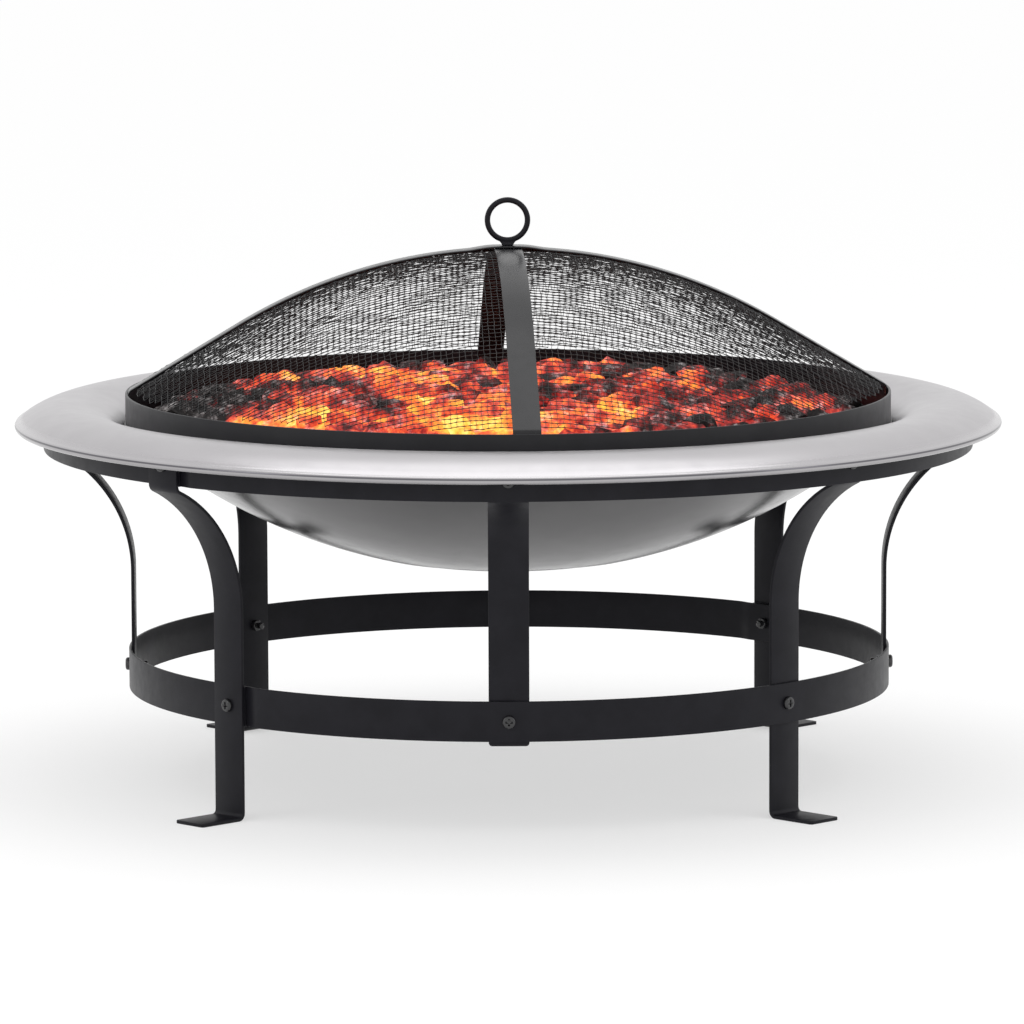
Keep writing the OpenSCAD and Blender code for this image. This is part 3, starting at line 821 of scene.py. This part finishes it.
def bowl_profile():
    """Middle of the bowl's sheet, from the centre out over the flange and round the lip."""
    half = SHEET_T / 2
    inside_r = DISH_R - SHEET_T
    below = DISH_Z - CREST_Z
    neck_r = (CREST_R ** 2 + below ** 2 - inside_r ** 2) / (2 * (inside_r - below))
    dish_end = atan2(CREST_R, below + neck_r)
    dish_start = asin(BASE_R / DISH_R)
    base_end = asin(BASE_R / BASE_CURVE_R)
    base_z = DISH_Z - DISH_R * cos(dish_start) + BASE_CURVE_R * cos(base_end)
    curl_r = LIP_R - half
    meet = acos((LIP_R - LIP_PROUD - half) / curl_r)
    flange_end = LIP_ANGLE - asin(curl_r * sin(meet) / LIP_REACH)
    down = -pi / 2
    points = arc_points((0, base_z), BASE_CURVE_R - half, down, down + base_end, 6)
    points += arc_points((0, DISH_Z), DISH_R - half, down + dish_start, down + dish_end, 36)
    points += arc_points((CREST_R, CREST_Z - neck_r), neck_r - half, pi / 2 + dish_end,
                         pi / 2, 16)[1:]
    points += arc_points((CREST_R, CREST_Z - FLANGE_R), FLANGE_R - half, pi / 2,
                         pi / 2 - flange_end, 16)[1:-1]
    begin = pi / 2 - LIP_ANGLE + meet
    points += arc_points((RIM_R - LIP_R, LIP_Z), curl_r, begin, begin - radians(320), 20)
    return points


def revolve(points, steps):
    """Draws the points as a line in the X-Z plane, point by point, and spins it round."""
    piece = start(bpy.ops.mesh.primitive_plane_add, size=1 * MM,
                  location=(points[0][0], 0, points[0][1]))
    bpy.ops.mesh.select_all(action="SELECT")
    bpy.ops.mesh.merge(type="CENTER")
    for (r0, z0), (r1, z1) in zip(points, points[1:]):
        bpy.ops.mesh.extrude_vertices_move(TRANSFORM_OT_translate={"value": (r1 - r0, 0, z1 - z0)})
    sweep_round(steps)
    return piece


def build_bowl():
    bowl = revolve(bowl_profile(), 256)
    apply_modifier(bowl, "SOLIDIFY", thickness=SHEET_T, offset=0)
    smooth(bowl, 60)
    finish_piece(bowl, "dished_bowl", "bowl", bowl_steel, "bowl_steel", "bowl")


# ---------------------------------------------------------------- spark guard


def build_guard_band():
    band = start_section(BAND_R - BAND_T / 2, BAND_Z + BAND_H / 2, BAND_T, BAND_H, (pi / 2, 0, 0))
    bpy.ops.mesh.bevel(offset=0.5 * MM, segments=3, affect="VERTICES")
    sweep_round(240)
    bead = start(bpy.ops.mesh.primitive_torus_add, major_radius=BAND_R, minor_radius=BEAD_R,
                 major_segments=240, minor_segments=12, location=(0, 0, BAND_Z + BEAD_R))
    deselect_all()
    band = join([band, bead])
    smooth(band)
    finish_piece(band, "beaded_band", "guard", guard_coat, "guard_coating", "guard_band")


def make_strap():
    """Strap across the dome along X, from its left end inside the band to its right end."""
    out = SEAT_GAP + STRAP_T / 2
    along_y = (0, 1, 0)
    shoulder_x = SKIRT_R - SHOULDER_R
    bend = pi / 2 - DOME_SLOPE
    slope = (shoulder_x + (SHOULDER_R - DOME_R) * sin(DOME_SLOPE)) / cos(DOME_SLOPE)
    strap = start_section(-SKIRT_R - out, SKIRT_FOOT_Z, STRAP_T, STRAP_W)
    extrude((0, 0, SHOULDER_Z - SKIRT_FOOT_Z))
    spin(bend, 8, (-shoulder_x, 0, SHOULDER_Z), along_y)
    extrude((slope * cos(DOME_SLOPE), 0, slope * sin(DOME_SLOPE)))
    spin(2 * DOME_SLOPE, 108, (0, 0, DOME_Z), along_y)
    extrude((slope * cos(DOME_SLOPE), 0, -slope * sin(DOME_SLOPE)))
    spin(bend, 8, (shoulder_x, 0, SHOULDER_Z), along_y)
    extrude((0, 0, SKIRT_FOOT_Z - SHOULDER_Z))
    close_sweep()
    return strap


def build_straps():
    under = make_strap()
    round_edges(under, 0.25 * MM)
    turn_to(under, AZIMUTH["front"] + GUARD_TURN)
    finish_piece(under, "strap_under", "guard", strap_coat, "guard_coating",
                 "guard_strap_lengthways")
    over = make_strap()
    # The strap on top steps over the other one with a smooth rise
    step = STRAP_TOP - MESH_TOP - SEAT_GAP - STRAP_T
    land = STRAP_W / 2 + 2 * MM
    select_points(over, lambda p: abs(p.x) < land)
    bpy.ops.transform.translate(value=(0, 0, step), use_proportional_edit=True,
                                proportional_edit_falloff="SMOOTH", proportional_size=20 * MM)
    round_edges(over, 0.25 * MM)
    turn_to(over, AZIMUTH["right"] + GUARD_TURN)
    finish_piece(over, "strap_over", "guard", strap_coat, "guard_coating",
                 "guard_strap_crossways")


def dome_surface(r):
    """Height and slope of the mesh's middle face at a distance r from the axis."""
    middle_r = DOME_R - MESH_T / 2
    break_r = middle_r * sin(DOME_SLOPE)
    if r <= break_r:
        slope = asin(r / middle_r)
        return DOME_Z + middle_r * cos(slope), slope
    top = DOME_Z + middle_r * cos(DOME_SLOPE)
    return top - (r - break_r) * sin(DOME_SLOPE) / cos(DOME_SLOPE), DOME_SLOPE


def wire_net(side):
    """One of the guard's two nets: a whole flat grid, pressed into the dome, as round wire.

    A net has wires both ways. At each crossing one net lies above the other, and they change
    places from one crossing to the next.
    """
    edge_r = SKIRT_R - MESH_T / 2 - 0.3 * MM
    count = int(edge_r / MESH_PITCH)
    lines = 2 * count + 1
    size = 2 * count * MESH_PITCH
    cloth = start(bpy.ops.mesh.primitive_grid_add, x_subdivisions=lines - 1,
                  y_subdivisions=lines - 1, size=size)
    bpy.ops.mesh.delete(type="ONLY_FACE")
    net = bmesh.from_edit_mesh(cloth.data)
    # The net stops a few millimetres short of the band
    outside = [p for p in net.verts if p.co.xy.length > edge_r - 0.25 * MESH_PITCH]
    bmesh.ops.delete(net, geom=outside, context="VERTS")
    rng = random.Random(side)
    for point in net.verts:
        over = 1 if (round(point.co.x / MESH_PITCH) + round(point.co.y / MESH_PITCH)) % 2 else -1
        flat = point.co.xy
        height, slope = dome_surface(flat.length)
        # The wires lie a little unevenly
        lift = over * side * WIRE_D / 2 + rng.uniform(-1, 1) * WIRE_STRAY
        outwards = flat.normalized() if flat.length else Vector((1, 0))
        shift = outwards * lift * sin(slope)
        shift += Vector((rng.uniform(-1, 1), rng.uniform(-1, 1))) * WIRE_STRAY
        point.co = (flat.x + shift.x, flat.y + shift.y, height + lift * cos(slope))
    bmesh.update_edit_mesh(cloth.data)
    pick(cloth)
    bpy.ops.object.convert(target="CURVE")
    cloth.data.bevel_depth = WIRE_D / 2
    cloth.data.bevel_resolution = 0
    cloth.data.use_fill_caps = True
    bpy.ops.object.convert(target="MESH")
    cloth = bpy.context.object
    turn_to(cloth, GUARD_TURN)
    bpy.ops.object.shade_smooth()
    return cloth


def build_mesh():
    # The names only tell the two nets apart, as each has wires both ways
    for name, side in (("wires_crossways", 1), ("wires_lengthways", -1)):
        wires = wire_net(side)
        finish_piece(wires, name, "guard", wire_coat, "guard_wire", "guard_mesh")


def build_handle():
    neck_foot = STRAP_TOP + SEAT_GAP
    ring_foot = EYE_Z - EYE_R
    ring = start(bpy.ops.mesh.primitive_torus_add, major_radius=EYE_R - EYE_ROD_D / 2,
                 minor_radius=EYE_ROD_D / 2, major_segments=96, minor_segments=24,
                 location=(0, 0, EYE_Z), rotation=(pi / 2, 0, 0))
    deselect_all()
    neck = start(bpy.ops.mesh.primitive_cylinder_add, vertices=48, radius=NECK_D / 2,
                 depth=ring_foot - neck_foot, location=(0, 0, (ring_foot + neck_foot) / 2))
    deselect_all()
    weld = start(bpy.ops.mesh.primitive_cube_add, size=1, location=(0, 0, ring_foot + WELD_RISE),
                 scale=(NECK_D, EYE_ROD_D * 0.9, WELD_H))
    select_points(weld, lambda p: p.z > ring_foot + WELD_RISE)
    bpy.ops.transform.resize(value=(1.5, 1, 1))
    deselect_all()
    shank = start(bpy.ops.mesh.primitive_cylinder_add, vertices=32, radius=SHANK_D / 2,
                  depth=ring_foot - SHANK_FOOT_Z, location=(0, 0, (ring_foot + SHANK_FOOT_Z) / 2))
    deselect_all()
    handle = join([ring, neck, weld, shank])
    apply_modifier(handle, "REMESH", mode="VOXEL", voxel_size=0.35 * MM)
    apply_modifier(handle, "SMOOTH", factor=0.6, iterations=6)
    turn_to(handle, GUARD_TURN)
    bpy.ops.object.shade_smooth()
    finish_piece(handle, "welded_ring", "guard", stand_coat, "guard_coating", "handle_ring")


# ---------------------------------------------------------------- grate and fire bed


def build_kept_nodes():
    """Gives the nodes that keep their own mesh their finishes."""
    finishes = {name: grate_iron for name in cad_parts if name.startswith("grate_")}
    finishes.update(handle_washer=guard_coat, handle_nut=bolt_coat)
    for name, finish in finishes.items():
        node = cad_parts[name]
        node.data.materials.clear()
        node.data.materials.append(finish)


def bed_height(r):
    """Height of the heap of coals at a distance r from the axis."""
    return BED_EDGE_Z + (BED_TOP_Z - BED_EDGE_Z) * (1 - (r / BED_R) ** BED_FULLNESS)


def heat_at(x, y):
    """Heat of the fire at a place: the base heat and what the places near it add."""
    return BASE_HEAT + sum(gain * exp(-((x / MM - sx) / wide) ** 2 - ((y / MM - sy) / deep) ** 2)
                           for sx, sy, wide, deep, gain in HEAT_SPOTS)


def heat_up(piece, offset=0):
    """Writes the fire's heat at each point of the piece to its ember_heat attribute."""
    heat = piece.data.attributes.new("ember_heat", "FLOAT", "POINT")
    heat.data.foreach_set("value", [heat_at(p.co.x, p.co.y) + offset for p in piece.data.vertices])


def cloud_texture(name, size, depth=3):
    texture = bpy.data.textures.new(name, "CLOUDS")
    texture.noise_scale = size
    texture.noise_depth = depth
    return texture


def make_lumps():
    """Chunks of coal, all different, that reach 1 m from the origin, to be scaled and turned."""
    lumps = []
    for i in range(LUMP_KINDS):
        lump = start(bpy.ops.mesh.primitive_cube_add, size=1.5)
        bpy.ops.mesh.select_all(action="SELECT")
        bpy.ops.mesh.subdivide(number_cuts=2, smoothness=0.45)
        deselect_all()
        place(lump, location=(7 * i, 3 * i, i))
        apply_modifier(lump, "DISPLACE", texture=cloud_texture(f"lump_{i}", 0.8, 1),
                       texture_coords="LOCAL", strength=0.9, mid_level=0.5)
        place(lump, location=(-7 * i, -3 * i, -i))
        reach = max(p.co.length for p in lump.data.vertices)
        place(lump, scale=(1 / reach, 1 / reach, 1 / reach))
        lumps.append(lump)
    return lumps


def build_ember_bed():
    """The lumpy heap under the coals, which fills the bowl down to the grate."""
    wall = DISH_R - SHEET_T - 1.5 * MM
    foot_r = sqrt(wall ** 2 - (DISH_Z - BED_FOOT_Z) ** 2)
    points = [(0, BED_FOOT_Z), (foot_r * 0.5, BED_FOOT_Z), (foot_r, BED_FOOT_Z)]
    for i in range(1, 7):
        r = foot_r + (BED_R - foot_r) * i / 6
        points.append((r, DISH_Z - sqrt(wall ** 2 - r ** 2)))
    points += [(BED_R * (1 - i / 80), bed_height(BED_R * (1 - i / 80)) - BED_SINK)
               for i in range(81)]
    bed = revolve(points, 240)
    apply_modifier(bed, "DISPLACE", texture=cloud_texture("crust", 0.022),
                   texture_coords="GLOBAL", strength=CRUST_RELIEF, mid_level=0.6)
    smooth(bed, 70)
    heat_up(bed)
    finish_piece(bed, "ember_bed", "grate", ember_glow, "embers", "fire_bed")


def coal_seats(rng):
    """Places and sizes of the coals, none too near another."""
    seats = []
    tries = 0
    while len(seats) < COAL_COUNT and tries < COAL_TRIES:
        tries += 1
        size = rng.uniform(*COAL_SIZES) * MM
        r = (BED_R - size) * sqrt(rng.random())
        angle = rng.uniform(0, 2 * pi)
        x, y = r * cos(angle), r * sin(angle)
        if all((x - sx) ** 2 + (y - sy) ** 2 > (0.5 * (size + s)) ** 2 for sx, sy, s in seats):
            seats.append((x, y, size))
    return seats


def build_coals():
    rng = random.Random(41)
    seats = coal_seats(rng)
    lumps = make_lumps()
    coals = []
    for x, y, size in seats:
        coal = copy_of(rng.choice(lumps))
        flat = rng.uniform(0.5, 0.75)
        # A coal near the edge lies lower, so that its far side doesn't stand out
        height = bed_height(sqrt(x * x + y * y) + size / 3) - size * flat * 0.9
        place(coal, rotation=(rng.uniform(0, pi), rng.uniform(0, pi), rng.uniform(0, pi)))
        place(coal, location=(x, y, height), rotation=(0, 0, rng.uniform(0, pi)),
              scale=(size, size * rng.uniform(0.7, 1), size * flat))
        heat_up(coal, rng.uniform(-0.14, 0.08))
        coals.append(coal)
    for lump in lumps:
        bpy.data.objects.remove(lump)
    pile = join(coals)
    smooth(pile, 25)
    finish_piece(pile, "burning_coals", "grate", ember_glow, "embers", "fire_bed")


# ---------------------------------------------------------------- set, light and camera


def floor_paint():
    """White floor. What looks at it directly sees its shadow only half as dark."""
    finish, nodes, links, shader = new_finish("pale_floor")
    shader.inputs["Base Color"].default_value = (0.98, 0.98, 0.98, 1)
    shader.inputs["Roughness"].default_value = 1.0
    shader.inputs["Specular IOR Level"].default_value = 0.0
    path = nodes.new("ShaderNodeLightPath")
    looks = path.outputs["Is Camera Ray"]
    for ray in ("Is Glossy Ray", "Is Transmission Ray"):
        either = nodes.new("ShaderNodeMath")
        either.operation = "MAXIMUM"
        links.new(looks, either.inputs[0])
        links.new(path.outputs[ray], either.inputs[1])
        looks = either.outputs["Value"]
    share = nodes.new("ShaderNodeMath")
    share.operation = "MULTIPLY"
    share.inputs[1].default_value = 0.5
    links.new(looks, share.inputs[0])
    white = nodes.new("ShaderNodeEmission")
    white.inputs["Strength"].default_value = 1.0
    blend = nodes.new("ShaderNodeMixShader")
    links.new(share.outputs["Value"], blend.inputs["Fac"])
    links.new(shader.outputs["BSDF"], blend.inputs[1])
    links.new(white.outputs["Emission"], blend.inputs[2])
    links.new(blend.outputs["Shader"], nodes["Material Output"].inputs["Surface"])
    return finish


def soft_box(name, location, target, size, power):
    light = bpy.data.lights.new(name, "AREA")
    light.shape = "RECTANGLE"
    light.size, light.size_y = size
    light.energy = power
    lamp = bpy.data.objects.new(name, light)
    bpy.context.scene.collection.objects.link(lamp)
    lamp.location = location
    aim = Vector(target) - Vector(location)
    lamp.rotation_euler = aim.to_track_quat("-Z", "Y").to_euler()


def build_set():
    floor = start(bpy.ops.mesh.primitive_plane_add, size=60)
    deselect_all()
    floor.name = "studio_floor"
    floor.data.materials.append(floor_paint())

    world = bpy.data.worlds.new("studio_air")
    bpy.context.scene.world = world
    world.use_nodes = True
    air = world.node_tree.nodes["Background"]
    air.inputs["Color"].default_value = (1, 1, 1, 1)
    air.inputs["Strength"].default_value = 1.0

    soft_box("top_box", (0, 0.3, 2.6), (0, 0, 0.2), (2.4, 1.6), 12)
    soft_box("left_box", (-2.8, -1.6, 1.5), (0, 0, 0.2), (1.0, 1.6), 6)
    soft_box("right_box", (2.8, -1.2, 1.3), (0, 0, 0.2), (1.0, 1.6), 4)


def build_camera():
    settings = bpy.data.cameras.new("lens")
    camera = bpy.data.objects.new("camera", settings)
    bpy.context.scene.collection.objects.link(camera)
    settings.sensor_width = SENSOR_W
    settings.lens = LENS_LEN
    settings.clip_end = 60
    camera.location = CAMERA_PLACE
    camera.rotation_mode = "XYZ"
    camera.rotation_euler = (CAMERA_TILT, 0, 0)
    camera.rotation_euler.rotate_axis("Z", CAMERA_ROLL)
    bpy.context.scene.camera = camera
    bpy.context.scene.view_settings.view_transform = "Standard"


build_uprights()
build_hoops()
build_fasteners()
build_bowl()
build_guard_band()
build_straps()
build_mesh()
build_handle()
build_kept_nodes()
build_ember_bed()
build_coals()
build_set()
build_camera()
